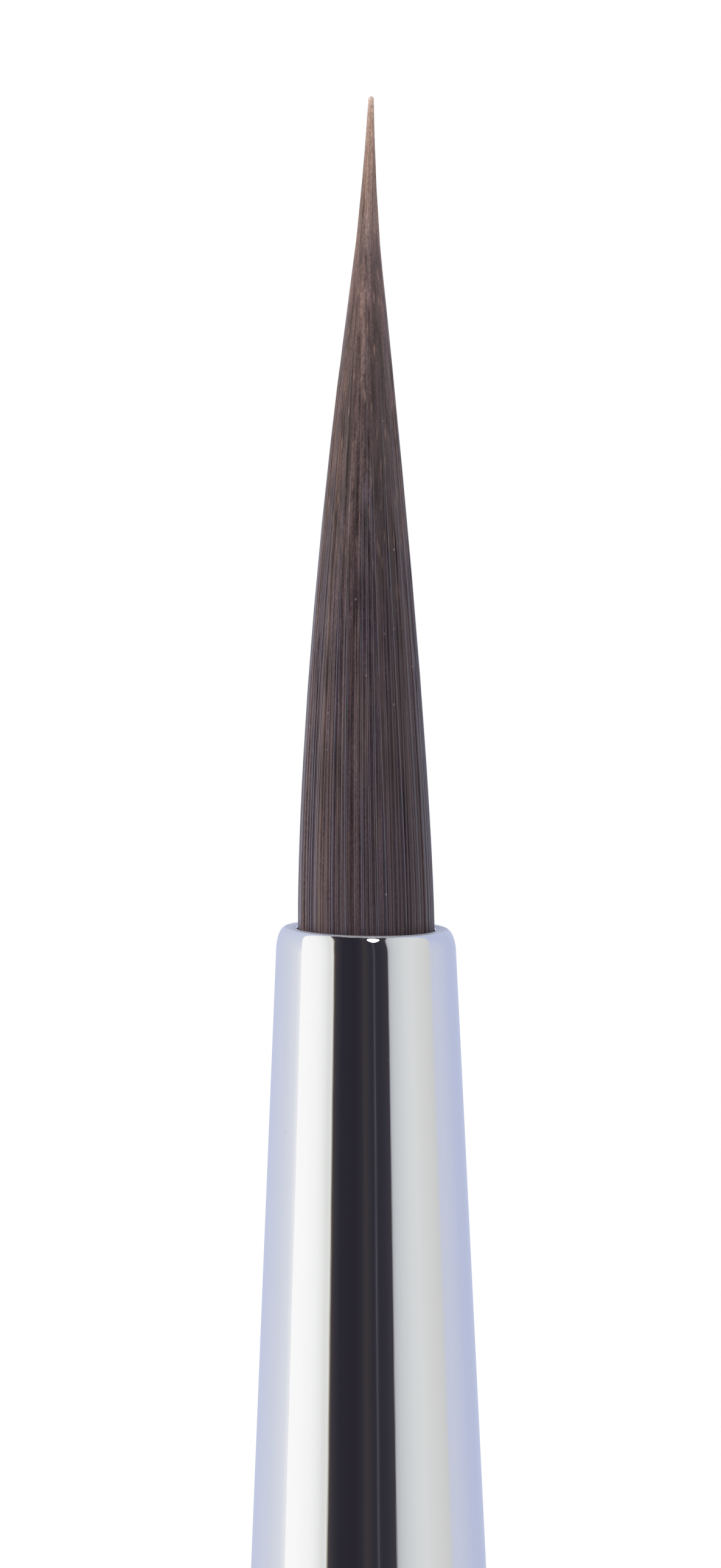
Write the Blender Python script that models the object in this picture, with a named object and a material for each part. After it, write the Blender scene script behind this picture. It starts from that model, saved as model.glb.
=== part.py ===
"""Fine detail brush: a pointed hair tuft glued and tied in a tapered metal ferrule, crimped on a turned handle.

Run it in Blender 4.5. Units are metres, +Z runs along the brush from the butt of the handle to the
tip of the tuft, and the origin is the centre of the flat on the butt.
"""

import math

import bmesh
import bpy
from mathutils import Matrix, Vector

MM = 0.001

# Hair tuft
TUFT_LENGTH = 9.73 * MM  # hair that shows above the mouth of the ferrule
TUFT_DIAMETER = 1.6 * MM  # hair bundle where it leaves the mouth
TUFT_FULLNESS = 1.51  # how long the outline stays full before it narrows: 1 would be a plain cone
POINT_OVERSHOOT = 1.115  # the body would close before the tip, and the last hairs run on as a needle
NEEDLE_BASE_DIAMETER = 0.17 * MM
NEEDLE_TIP_DIAMETER = 0.056 * MM
NEEDLE_START = 0.876  # share of the tuft's length at which the needle takes over
NEEDLE_BLEND = 0.03 * MM
TIP_LEAN = 0.10 * MM  # the tip stands this far to +X of the axis
TIP_SWAY = 0.92  # how far the tuft first leans the other way, as a share of the lean
ROOT_LENGTH = 9.0 * MM  # hair inside the ferrule

# Hair locks round the core
LOCK_COUNT = 24
LOCK_SHARE = 0.84  # share of its pitch that a lock fills
LOCK_INNER = 0.80  # inner face of a lock, as a share of the tuft's radius
LOCK_SHOULDER = 0.96  # outer corners of a lock, as a share of the tuft's radius
LOCK_THIN_FROM = 0.76  # share of the tuft's length above which the locks thin out
LOCK_END = 0.87  # share of the tuft's length at which the locks end on the core
LOCK_END_INNER = 0.93
LOCK_END_OUTER = 0.97
LOCK_END_WIDTH = 0.5  # width of a lock at its end, as a share of its width lower down
CORE_CLEARANCE = 0.02  # gap between core and locks, as a share of the tuft's radius

# Bend of the tuft
PIVOT_RISE = 0.9 * MM  # height of the bending axis above the mouth
PIVOT_CLEARANCE = 0.02 * MM
FOOT_WIDTH = 0.95  # widest that the core's foot may be, as a share of the ball that it turns in

# Binding thread and glue plug at the roots
THREAD_DIAMETER = 0.11 * MM
THREAD_PITCH = 0.13 * MM
THREAD_TURNS = 5
THREAD_RISE = 2.3 * MM  # height of the first turn above the ends of the roots
PLUG_DEPTH = 1.9 * MM  # length of root that stands in the glue
PLUG_FLOOR = 0.8 * MM  # glue under the roots

# Ferrule
FERRULE_WALL = 0.23 * MM
FERRULE_CONE_LENGTH = 21.4 * MM
FERRULE_CRIMP_LENGTH = 6.0 * MM
FERRULE_BACK_DIAMETER = 4.0 * MM
LIP_OUTER_ROUNDING = 0.18 * MM
LIP_INNER_ROUNDING = 0.04 * MM
LIP_FIRST_ANGLE = 15  # degrees above level at which the lip takes over from the cone
CRIMP_COUNT = 2
CRIMP_DEPTH = 0.13 * MM
CRIMP_WIDTH = 1.1 * MM
CRIMP_SPACING = 1.9 * MM
CRIMP_RISE = 1.5 * MM  # middle of the lowest groove above the back edge of the ferrule

# Handle
HANDLE_LENGTH = 145.0 * MM  # wood that shows below the ferrule
HANDLE_STEP = 0.12 * MM  # how far the handle stands out past the ferrule
HANDLE_STEP_ROUNDING = 0.15 * MM
BELLY_DIAMETER = 7.2 * MM
BELLY_DROP = 31.0 * MM  # thickest point below the ferrule
TAIL_SLIMNESS = 1.35  # how soon the tail thins out below the belly: 1 would be a sine curve
BUTT_DIAMETER = 3.0 * MM
BUTT_ROUNDING = 0.7 * MM
TENON_LENGTH = 14.0 * MM  # wood inside the ferrule
TENON_CHAMFER = 0.4 * MM
GLUE_LINE = 0.1 * MM  # thickness of the glue between tenon and ferrule

# Fits
FIT = 0.02 * MM  # clearance between any two pieces that touch
HAIR_FIT = 0.01 * MM  # clearance between the hair and the mouth

# Fineness of the meshes
TURN_SEGMENTS = 36
CORE_SEGMENTS = 24
THREAD_SEGMENTS = 14  # points in one turn of the thread
CONE_STEPS = 5
CRIMP_STEPS = 6
BELLY_STEPS = 8
TAIL_STEPS = 12
ROUND_STEPS = 4
LIP_INNER_STEPS = 2
TUFT_STEPS = 8
LOCK_END_STEPS = 2
NEEDLE_STEPS = 4
FOOT_STEPS = 4

SHARP_ANGLE = math.radians(40)

# Heights worked out from the sizes above
FERRULE_LENGTH = FERRULE_CONE_LENGTH + FERRULE_CRIMP_LENGTH
FERRULE_BACK = HANDLE_LENGTH + FIT
CONE_BASE = FERRULE_BACK + FERRULE_CRIMP_LENGTH
MOUTH = FERRULE_BACK + FERRULE_LENGTH
PIVOT = MOUTH + PIVOT_RISE
ROOT_END = MOUTH - ROOT_LENGTH
TENON_END = HANDLE_LENGTH + TENON_LENGTH

# Radii worked out from the sizes above
MOUTH_BORE = TUFT_DIAMETER / 2 + HAIR_FIT
MOUTH_RADIUS = MOUTH_BORE + FERRULE_WALL
BACK_RADIUS = FERRULE_BACK_DIAMETER / 2
SHOULDER_RADIUS = BACK_RADIUS + HANDLE_STEP
BELLY_RADIUS = BELLY_DIAMETER / 2
BUTT_RADIUS = BUTT_DIAMETER / 2


def clear_scene():
    for obj in list(bpy.data.objects):
        bpy.data.objects.remove(obj, do_unlink=True)


def make_material(name, colour, roughness, metallic=0.0):
    material = bpy.data.materials.new(name)
    material.use_nodes = True
    shader = material.node_tree.nodes["Principled BSDF"]
    shader.inputs["Base Color"].default_value = (*colour, 1.0)
    shader.inputs["Roughness"].default_value = roughness
    shader.inputs["Metallic"].default_value = metallic
    return material


def add_object(name, mesh, material):
    mesh.shade_smooth()
    mesh.set_sharp_from_angle(angle=SHARP_ANGLE)
    mesh.materials.append(material)
    obj = bpy.data.objects.new(name, mesh)
    bpy.context.scene.collection.objects.link(obj)
    return obj


def finish_mesh(name, work):
    bmesh.ops.recalc_face_normals(work, faces=work.faces)
    mesh = bpy.data.meshes.new(name)
    work.to_mesh(mesh)
    work.free()
    return mesh


def turned(name, profile, material):
    """One solid of revolution. The (radius, height) profile is closed, or ends on the axis twice."""
    work = bmesh.new()
    points = [work.verts.new((radius, 0.0, height)) for radius, height in profile]
    for low, high in zip(points, points[1:]):
        work.edges.new((low, high))
    if profile[0][0] > 0:
        work.edges.new((points[-1], points[0]))
    bmesh.ops.spin(
        work,
        geom=work.verts[:] + work.edges[:],
        axis=(0, 0, 1),
        cent=(0, 0, 0),
        angle=math.tau,
        steps=TURN_SEGMENTS,
    )
    bmesh.ops.remove_doubles(work, verts=work.verts, dist=MM / 10000)
    return add_object(name, finish_mesh(name, work), material)


def lofted(name, rings, material):
    """One solid through rings of equally many points, lowest ring first, with flat ends."""
    work = bmesh.new()
    loops = [[work.verts.new(point) for point in ring] for ring in rings]
    for low, high in zip(loops, loops[1:]):
        for i, corner in enumerate(low):
            following = (i + 1) % len(low)
            work.faces.new((corner, low[following], high[following], high[i]))
    work.faces.new(loops[0])
    work.faces.new(loops[-1])
    return add_object(name, finish_mesh(name, work), material)


def steps_between(start, end, count):
    """Evenly spaced values from start to end, both included."""
    return [start + (end - start) * i / count for i in range(count + 1)]


def smooth_rise(share):
    """0 to 1 with a level start and a level end."""
    return share * share * (3 - 2 * share)


def arc(centre, radius, start, end, count=ROUND_STEPS):
    """Points of a round corner in the profile's (radius, height) plane, angles in degrees."""
    angles = [math.radians(a) for a in steps_between(start, end, count)]
    return [(centre[0] + radius * math.cos(a), centre[1] + radius * math.sin(a)) for a in angles]


# Ferrule


def crimp_heights():
    return [FERRULE_BACK + CRIMP_RISE + CRIMP_SPACING * i for i in range(CRIMP_COUNT)]


def crimp_stations():
    """Heights that describe the rolled grooves, lowest first."""
    half = CRIMP_WIDTH / 2
    return [
        height
        for middle in crimp_heights()
        for height in steps_between(middle - half, middle + half, CRIMP_STEPS)
    ]


def ferrule_radius(height):
    """Outer radius of the ferrule: a crimped cylinder below a straight cone."""
    if height >= CONE_BASE:
        share = (height - CONE_BASE) / FERRULE_CONE_LENGTH
        return BACK_RADIUS + (MOUTH_RADIUS - BACK_RADIUS) * share
    dip = 0.0
    for middle in crimp_heights():
        offset = abs(height - middle) / (CRIMP_WIDTH / 2)
        if offset < 1:
            dip += CRIMP_DEPTH * (0.5 + 0.5 * math.cos(math.pi * offset))
    return BACK_RADIUS - dip


def bore_radius(height):
    return ferrule_radius(height) - FERRULE_WALL


def ferrule_stations():
    """Heights from the back edge up to the start of the lip."""
    below_lip = MOUTH - LIP_OUTER_ROUNDING
    return [FERRULE_BACK, *crimp_stations(), *steps_between(CONE_BASE, below_lip, CONE_STEPS)]


def make_ferrule(metal):
    heights = ferrule_stations()
    outside = [(ferrule_radius(height), height) for height in heights]
    outer_centre = (MOUTH_RADIUS - LIP_OUTER_ROUNDING, MOUTH - LIP_OUTER_ROUNDING)
    outer_lip = arc(outer_centre, LIP_OUTER_ROUNDING, LIP_FIRST_ANGLE, 90)
    inner_centre = (MOUTH_BORE + LIP_INNER_ROUNDING, MOUTH - LIP_INNER_ROUNDING)
    inner_lip = arc(inner_centre, LIP_INNER_ROUNDING, 90, 180, LIP_INNER_STEPS)
    inside = [(bore_radius(height), height) for height in reversed(heights)]
    return turned("ferrule", outside + outer_lip + inner_lip + inside, metal)


# Handle


def handle_radius(height):
    """Turned outline below the ferrule: a neck that swells to the belly, then a long thin tail."""
    belly = HANDLE_LENGTH - BELLY_DROP
    if height >= belly:
        share = (HANDLE_LENGTH - height) / BELLY_DROP
        return SHOULDER_RADIUS + (BELLY_RADIUS - SHOULDER_RADIUS) * smooth_rise(share)
    share = height / belly
    return BUTT_RADIUS + (BELLY_RADIUS - BUTT_RADIUS) * math.sin(share * math.pi / 2) ** TAIL_SLIMNESS


def tenon_radius(height):
    """The tenon fills the crimped stretch, and leaves room for the glue in the cone."""
    if height <= CONE_BASE:
        return bore_radius(height) - FIT
    return bore_radius(height) - GLUE_LINE - 2 * FIT


def make_handle(wood):
    butt_corner = (BUTT_RADIUS - BUTT_ROUNDING, BUTT_ROUNDING)
    profile = [(0.0, 0.0)]
    profile += arc(butt_corner, BUTT_ROUNDING, -90, 0)
    tail_top = HANDLE_LENGTH - BELLY_DROP
    neck_top = HANDLE_LENGTH - HANDLE_STEP_ROUNDING
    tail = steps_between(BUTT_ROUNDING, tail_top, TAIL_STEPS)[1:]
    neck = steps_between(tail_top, neck_top, BELLY_STEPS)[1:]
    profile += [(handle_radius(height), height) for height in tail + neck]
    corner_radius = handle_radius(neck_top) - HANDLE_STEP_ROUNDING
    profile += arc((corner_radius, neck_top), HANDLE_STEP_ROUNDING, 0, 90)[1:]
    profile.append((tenon_radius(HANDLE_LENGTH), HANDLE_LENGTH))
    profile += [(tenon_radius(height), height) for height in crimp_stations()]
    profile.append((tenon_radius(CONE_BASE), CONE_BASE))
    glued_from = CONE_BASE + FIT
    profile.append((tenon_radius(glued_from), glued_from))
    chamfer = TENON_END - TENON_CHAMFER
    profile.append((tenon_radius(chamfer), chamfer))
    profile.append((tenon_radius(TENON_END) - TENON_CHAMFER, TENON_END))
    profile.append((0.0, TENON_END))
    return turned("handle", profile, wood)


def make_tenon_glue(glue):
    """Thin sleeve of glue between the tenon and the cone of the ferrule."""
    low = CONE_BASE + 2 * FIT
    high = TENON_END - TENON_CHAMFER
    outside = [(bore_radius(height) - FIT, height) for height in (low, high)]
    inside = [(tenon_radius(height) + FIT, height) for height in (high, low)]
    return turned("tenon_glue", outside + inside, glue)


# Hair


def tuft_radius(share):
    """Radius of the tuft at a share of its length above the mouth; negative shares are in the ferrule."""
    if share <= 0:
        return TUFT_DIAMETER / 2
    body = TUFT_DIAMETER / 2 * (1 - POINT_OVERSHOOT * share**TUFT_FULLNESS)
    along = (1 - share) / (1 - NEEDLE_START)
    needle = (NEEDLE_TIP_DIAMETER + (NEEDLE_BASE_DIAMETER - NEEDLE_TIP_DIAMETER) * along) / 2
    apart = body - needle
    return (body + needle + math.hypot(apart, NEEDLE_BLEND)) / 2


def mouth_limited_radius(share):
    """The smooth join of body and needle adds a hair's breadth at the mouth, which the bore takes off."""
    return min(tuft_radius(share), TUFT_DIAMETER / 2)


def tuft_centre(share):
    """Middle of the tuft: it sways back a little, then leans to the tip."""
    share = max(share, 0.0)
    lean = TIP_LEAN * ((1 + TIP_SWAY) * share * share - TIP_SWAY * share)
    return Vector((lean, 0.0, MOUTH + TUFT_LENGTH * share))


def tuft_point(share, angle, reach):
    """Point at an angle round the tuft, at a share of its radius."""
    radius = mouth_limited_radius(share) * reach
    return tuft_centre(share) + Vector((radius * math.cos(angle), radius * math.sin(angle), 0.0))


def thinning(share):
    """0 where the locks are full, 1 where they end on the core."""
    return min(max((share - LOCK_THIN_FROM) / (LOCK_END - LOCK_THIN_FROM), 0.0), 1.0)


def lock_inner(share):
    return LOCK_INNER + (LOCK_END_INNER - LOCK_INNER) * thinning(share)


def lock_ring(share, middle):
    """Section of one lock: a flat inner face, two shoulders and a ridge between them."""
    side = math.pi / LOCK_COUNT * LOCK_SHARE
    narrowing = 1 - (1 - LOCK_END_WIDTH) * thinning(share)
    left = middle - side * narrowing
    right = middle + side * narrowing
    crest = 1 - (1 - LOCK_END_OUTER) * thinning(share)
    shoulder = max(crest * LOCK_SHOULDER, lock_inner(share) + CORE_CLEARANCE / 2)
    inner = lock_inner(share)
    corners = [(left, inner), (left, shoulder), (middle, crest), (right, shoulder), (right, inner)]
    return [tuft_point(share, angle, reach) for angle, reach in corners]


def in_ferrule(ring, height):
    """The same ring moved straight down to a height inside the ferrule."""
    return [Vector((point.x, point.y, height)) for point in ring]


def lock_shares():
    lower = steps_between(0.0, LOCK_THIN_FROM, TUFT_STEPS)
    upper = steps_between(LOCK_THIN_FROM, LOCK_END, LOCK_END_STEPS)
    return lower + upper[1:]


def make_lock(index, hair):
    middle = math.tau * (index + 0.5) / LOCK_COUNT
    rings = [lock_ring(share, middle) for share in lock_shares()]
    rings.insert(0, in_ferrule(rings[0], ROOT_END))
    return lofted(f"hair_lock_{index + 1:02d}", rings, hair)


def core_reach(share):
    """Reach of the core: inside the locks, then out to the tuft's own outline above them."""
    covered = lock_inner(share) - CORE_CLEARANCE
    if share <= LOCK_END:
        return covered
    first_step = (1 - LOCK_END) / NEEDLE_STEPS
    opening = min((share - LOCK_END) / first_step, 1.0)
    return covered + (1 - covered) * opening


def core_ring(share, reach):
    angles = [math.tau * i / CORE_SEGMENTS for i in range(CORE_SEGMENTS)]
    return [tuft_point(share, angle, reach) for angle in angles]


def make_core(hair):
    """Middle of the free hair. Its foot is a ball round the bending axis, so it turns on the spot."""
    ball = PIVOT_RISE - PIVOT_CLEARANCE
    side = min(core_reach(0.0) * mouth_limited_radius(0.0), ball * FOOT_WIDTH)
    widest = math.asin(side / ball)
    rings = []
    for angle in steps_between(widest / (FOOT_STEPS + 1), widest, FOOT_STEPS):
        height = PIVOT - ball * math.cos(angle)
        share = (height - MOUTH) / TUFT_LENGTH
        rings.append(core_ring(share, ball * math.sin(angle) / mouth_limited_radius(share)))
    foot = (PIVOT - ball * math.cos(widest) - MOUTH) / TUFT_LENGTH
    body = steps_between(foot, LOCK_THIN_FROM, TUFT_STEPS)[1:]
    thin = steps_between(LOCK_THIN_FROM, LOCK_END, LOCK_END_STEPS)[1:]
    needle = steps_between(LOCK_END, 1.0, NEEDLE_STEPS)[1:]
    rings += [core_ring(share, core_reach(share)) for share in body + thin + needle]
    return lofted("hair_core", rings, hair)


def make_core_root(hair):
    top = core_ring(0.0, core_reach(0.0))
    rings = [in_ferrule(top, ROOT_END), in_ferrule(top, MOUTH - PIVOT_CLEARANCE)]
    return lofted("hair_core_root", rings, hair)


# Binding thread and glue


def make_thread(cotton):
    """A few turns of thread wound tight round the roots."""
    radius = TUFT_DIAMETER / 2 + FIT + THREAD_DIAMETER / 2
    bottom = ROOT_END + THREAD_RISE
    curve = bpy.data.curves.new("binding_thread", "CURVE")
    curve.dimensions = "3D"
    curve.bevel_depth = THREAD_DIAMETER / 2
    curve.bevel_resolution = 1
    curve.use_fill_caps = True
    spline = curve.splines.new("POLY")
    count = THREAD_TURNS * THREAD_SEGMENTS
    spline.points.add(count)
    for i, point in enumerate(spline.points):
        angle = math.tau * i / THREAD_SEGMENTS
        height = bottom + THREAD_PITCH * i / THREAD_SEGMENTS
        point.co = (radius * math.cos(angle), radius * math.sin(angle), height, 1.0)
    curve.materials.append(cotton)
    obj = bpy.data.objects.new("binding_thread", curve)
    bpy.context.scene.collection.objects.link(obj)
    return obj


def make_glue_plug(resin):
    """Cup of set glue that fills the bore and holds the ends of the roots."""
    floor = ROOT_END - FIT
    bottom = floor - PLUG_FLOOR
    top = ROOT_END + PLUG_DEPTH
    well = TUFT_DIAMETER / 2 + FIT
    profile = [
        (0.0, bottom),
        (bore_radius(bottom) - FIT, bottom),
        (bore_radius(top) - FIT, top),
        (well, top),
        (well, floor),
        (0.0, floor),
    ]
    return turned("glue_plug", profile, resin)


def put_on_pivot(pieces):
    """The free hair turns about the bending axis, so its pieces hang from an empty on that axis."""
    pivot = bpy.data.objects.new("tuft_pivot", None)
    pivot.location = (0.0, 0.0, PIVOT)
    bpy.context.scene.collection.objects.link(pivot)
    for piece in pieces:
        piece.data.transform(Matrix.Translation((0.0, 0.0, -PIVOT)))
        piece.parent = pivot


def main():
    clear_scene()
    lacquer = make_material("handle_lacquer", (0.012, 0.011, 0.013), 0.18)
    chrome = make_material("ferrule_chrome", (0.80, 0.80, 0.82), 0.07, 1.0)
    hair = make_material("hair_dark", (0.085, 0.062, 0.060), 0.45)
    resin = make_material("glue_resin", (0.55, 0.36, 0.14), 0.25)
    cotton = make_material("binding_cotton", (0.62, 0.57, 0.48), 0.85)

    make_handle(lacquer)
    make_ferrule(chrome)
    make_tenon_glue(resin)
    make_glue_plug(resin)
    make_thread(cotton)
    make_core_root(hair)
    locks = [make_lock(index, hair) for index in range(LOCK_COUNT)]
    put_on_pivot([make_core(hair), *locks])


main()
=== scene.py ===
"""Looks of the fine detail brush: hair tuft, polished ferrule, lacquered handle, and the studio round them.

Every size is in metres in the model's own frame: the brush stands on its butt at the origin, +Z runs to
the tip of the tuft, and the camera looks along +Y.
"""

import math
import random

import bpy
from bpy.props import FloatProperty, FloatVectorProperty, IntProperty, PointerProperty
from mathutils import Euler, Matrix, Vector


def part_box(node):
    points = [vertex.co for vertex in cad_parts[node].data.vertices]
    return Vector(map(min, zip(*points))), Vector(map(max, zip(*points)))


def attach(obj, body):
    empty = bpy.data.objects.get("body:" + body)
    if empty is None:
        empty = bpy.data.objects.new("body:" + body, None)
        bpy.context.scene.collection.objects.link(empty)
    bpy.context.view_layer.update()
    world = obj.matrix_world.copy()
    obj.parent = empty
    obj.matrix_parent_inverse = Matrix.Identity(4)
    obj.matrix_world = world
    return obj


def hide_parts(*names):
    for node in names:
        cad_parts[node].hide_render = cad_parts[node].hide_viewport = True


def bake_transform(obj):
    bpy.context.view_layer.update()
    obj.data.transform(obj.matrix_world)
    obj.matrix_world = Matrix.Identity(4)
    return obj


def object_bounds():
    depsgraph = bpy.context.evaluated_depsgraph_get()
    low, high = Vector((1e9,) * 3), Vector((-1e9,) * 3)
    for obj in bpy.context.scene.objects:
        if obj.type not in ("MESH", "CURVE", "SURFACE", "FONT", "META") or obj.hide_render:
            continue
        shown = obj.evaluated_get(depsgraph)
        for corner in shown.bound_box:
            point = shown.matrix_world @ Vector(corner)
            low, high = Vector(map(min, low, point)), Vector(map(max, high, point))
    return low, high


bl_info = {
    "name": "Fine Detail Brush",
    "version": (1, 0, 0),
    "blender": (4, 5, 0),
    "location": "View3D > Sidebar > Brush",
    "description": "Models the tuft, ferrule and handle of a fine detail brush, and its studio",
    "category": "Object",
}

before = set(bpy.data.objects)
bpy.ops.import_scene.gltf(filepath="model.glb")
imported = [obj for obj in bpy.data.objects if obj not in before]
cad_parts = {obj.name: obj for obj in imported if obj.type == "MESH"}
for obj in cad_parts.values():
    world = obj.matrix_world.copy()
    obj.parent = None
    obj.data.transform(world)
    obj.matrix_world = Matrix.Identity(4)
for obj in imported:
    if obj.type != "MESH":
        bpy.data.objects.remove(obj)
CAD_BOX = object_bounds()

MM = 0.001

# Places that the frame gives
FERRULE_LOW, FERRULE_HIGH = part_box("ferrule")
HANDLE_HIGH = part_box("handle")[1]
MOUTH = FERRULE_HIGH.z
TUFT_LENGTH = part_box("hair_core")[1].z - MOUTH
ROOT_SHARE = (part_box("hair_core_root")[0].z - MOUTH) / TUFT_LENGTH
BACK_RADIUS = FERRULE_HIGH.x
LOCKS = sorted(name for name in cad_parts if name.startswith("hair_lock_"))

# The tuft's outline, as in the solids under it. A share of the tuft is its height, from 0 at the ferrule's
# mouth to 1 at the tip.
TUFT_RADIUS = 0.8 * MM
FULLNESS = 1.51  # how late the tuft narrows
OVERSHOOT = 1.115  # narrowing at the tip, past 1 so that the needle takes over before it
NEEDLE_BASE = 0.085 * MM
NEEDLE_TIP = 0.028 * MM
NEEDLE_START = 0.876  # share of the tuft
NEEDLE_BLEND = 0.03 * MM
TIP_LEAN = 0.10 * MM
LEAN_BOW = 0.92  # how strongly the tuft first bows the other way
ROUND_START = 0.9965  # share of the tuft at which its end rounds off

SMOOTH_BELOW = math.radians(35)  # turned pieces are shaded smooth over flatter edges than this
WELD = MM / 1000
WHITE = (1.0, 1.0, 1.0)


def colour_property(name, description, default):
    return FloatVectorProperty(
        name=name, description=description, default=default, size=3, min=0.0, max=1.0, subtype="COLOR"
    )


def length_property(name, description, default):
    return FloatProperty(name=name, description=description, default=default, min=0.0, unit="LENGTH")


def angle_property(name, description, degrees):
    return FloatProperty(name=name, description=description, default=math.radians(degrees), subtype="ANGLE")


class TuftSettings(bpy.types.PropertyGroup):
    """Sizes and colours of the hair."""

    outer_count: IntProperty(name="Outer hairs", description="Hairs round the outside", default=94, min=12)
    inner_count: IntProperty(name="Inner hairs", description="Hairs in the layer below", default=86, min=12)
    thickness: length_property("Hair thickness", "Diameter of one hair at the mouth", 0.055 * MM)
    wander: angle_property("Wander", "How far a hair strays round the tuft", 7)
    dark: colour_property("Dark", "Darkest hairs", (0.030, 0.018, 0.021))
    body: colour_property("Body", "Most of the hair", (0.064, 0.041, 0.045))
    light: colour_property("Light", "Lighter hairs", (0.102, 0.070, 0.071))
    tip: colour_property("Tip", "Bleached ends of the hairs", (0.74, 0.505, 0.393))


class FerruleSettings(bpy.types.PropertyGroup):
    """Sizes and finish of the ferrule."""

    wall: length_property("Wall", "Thickness of the metal", 0.23 * MM)
    mouth_radius: length_property("Mouth radius", "Outer radius at the mouth", 1.04 * MM)
    lip: length_property("Lip width", "How far the lip turns in", 0.10 * MM)
    lip_height: length_property("Lip height", "Height over which the lip turns in", 0.25 * MM)
    lip_inside: length_property("Inner rounding", "Inner rounding of the mouth", 0.035 * MM)
    rim_drop: length_property("Rim drop", "How far the polishing has lowered the rim", 0.005 * MM)
    skew: angle_property("Mouth skew", "How far the mouth is out of square sideways", 1.2)
    nod: angle_property("Mouth nod", "How far the mouth is out of square forwards", 1.0)
    crimped: length_property("Crimped length", "Straight stretch that grips the handle", 6.0 * MM)
    crimp_depth: length_property("Crimp depth", "Depth of a rolled groove", 0.13 * MM)
    crimp_width: length_property("Crimp width", "Width of a rolled groove", 1.1 * MM)
    crimp_spacing: length_property("Crimp spacing", "Distance between grooves", 1.9 * MM)
    crimp_rise: length_property("Crimp rise", "First groove above the back edge", 1.5 * MM)
    crimps: IntProperty(name="Crimps", description="Number of rolled grooves", default=2, min=0)
    metal: colour_property("Metal", "Colour of the plating", (0.90, 0.90, 0.91))


class HandleSettings(bpy.types.PropertyGroup):
    """Sizes and finish of the handle."""

    belly_drop: length_property("Belly drop", "Thickest point below the ferrule", 31.0 * MM)
    step: length_property("Step", "How far the handle stands out past the ferrule", 0.12 * MM)
    step_rounding: length_property("Step rounding", "Rounding of that step", 0.15 * MM)
    butt_radius: length_property("Butt radius", "Radius at the thin end", 1.5 * MM)
    butt_rounding: length_property("Butt rounding", "Rounding of the thin end", 0.7 * MM)
    lacquer: colour_property("Lacquer", "Colour of the lacquer", (0.020, 0.012, 0.010))
    wood: colour_property("Wood", "Bare wood where the lacquer is worn", (0.42, 0.26, 0.13))


class StudioSettings(bpy.types.PropertyGroup):
    """Camera and light."""

    distance: length_property("Camera distance", "From the camera to the tuft", 0.30)
    tilt: angle_property("Camera tilt", "How far the camera looks down", 5)
    roll: angle_property("Camera roll", "Lean of the brush in the picture", -0.235)
    view_height: length_property("View height", "Height that the picture covers", 18.32 * MM)
    view_rise: length_property("View rise", "Middle of the picture above the mouth", 1.678 * MM)
    view_aside: length_property("View aside", "Middle of the picture left of the axis", 0.057 * MM)
    key: FloatProperty(name="Key light", description="Power of the soft lamp in front", default=2.4, min=0)
    top: FloatProperty(name="Top light", description="Power of the small lamp overhead", default=0.3, min=0)


# Helpers


def deselect_all():
    if bpy.context.mode != "OBJECT":
        bpy.ops.object.mode_set(mode="OBJECT")
    bpy.ops.object.select_all(action="DESELECT")


def edit_all():
    """Goes into edit mode with everything selected."""
    bpy.ops.object.mode_set(mode="EDIT")
    bpy.ops.mesh.select_all(action="SELECT")


def leave_closed():
    """Turns all faces outwards and leaves edit mode."""
    bpy.ops.mesh.select_all(action="SELECT")
    bpy.ops.mesh.normals_make_consistent(inside=False)
    bpy.ops.object.mode_set(mode="OBJECT")


def named(piece, name):
    """Names a piece and its mesh, and stops the script if it came out empty."""
    if not piece.data.polygons:
        raise RuntimeError(f"{name} has no faces")
    piece.name = name
    piece.data.name = name
    return piece


def steps_between(start, end, count):
    """Evenly spaced values from start to end, with count steps between them."""
    return [start + (end - start) * i / count for i in range(count + 1)]


def smooth_rise(value, low=0.0, high=1.0):
    """Rises smoothly from 0 at low to 1 at high."""
    share = min(max((value - low) / (high - low), 0.0), 1.0)
    return share * share * (3 - 2 * share)


def arc(centre, radius, start, end, count):
    """Points of a round corner in the (radius, height) plane, angles in degrees."""
    angles = [math.radians(angle) for angle in steps_between(start, end, count)]
    return [(centre[0] + radius * math.cos(a), centre[1] + radius * math.sin(a)) for a in angles]


def spun(name, outline, steps):
    """Spins a closed outline of (radius, height) points round the brush's axis."""
    deselect_all()
    bpy.ops.mesh.primitive_circle_add(vertices=len(outline), radius=MM, fill_type="NOTHING")
    piece = bpy.context.object
    for point, (radius, height) in zip(piece.data.vertices, outline):
        point.co = (radius, 0.0, height)
    edit_all()
    bpy.ops.mesh.spin(steps=steps, angle=math.tau, center=(0, 0, 0), axis=(0, 0, 1))
    bpy.ops.mesh.select_all(action="SELECT")
    bpy.ops.mesh.remove_doubles(threshold=WELD)
    bpy.ops.mesh.delete_loose()
    leave_closed()
    bpy.ops.object.shade_smooth_by_angle(angle=SMOOTH_BELOW)
    return named(piece, name)


def ringed_column(sides, steps, pointed=False):
    """An upright column one unit in radius, with a ring of points at each whole height up to steps.

    A pointed one has a single point at its top.
    """
    deselect_all()
    bpy.ops.mesh.primitive_circle_add(vertices=sides, radius=1.0, fill_type="NGON")
    column = bpy.context.object
    edit_all()
    for _ in range(steps):
        bpy.ops.mesh.extrude_region_move(TRANSFORM_OT_translate={"value": (0, 0, 1)})
    if pointed:
        bpy.ops.mesh.merge(type="CENTER")
    leave_closed()
    bpy.ops.object.shade_smooth()
    return column


# Shader helpers


def set_inputs(tree, node, values):
    """Links or sets a node's input sockets, given by index or name."""
    for socket, value in values.items():
        if isinstance(value, bpy.types.NodeSocket):
            tree.links.new(value, node.inputs[socket])
        else:
            node.inputs[socket].default_value = value


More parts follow.
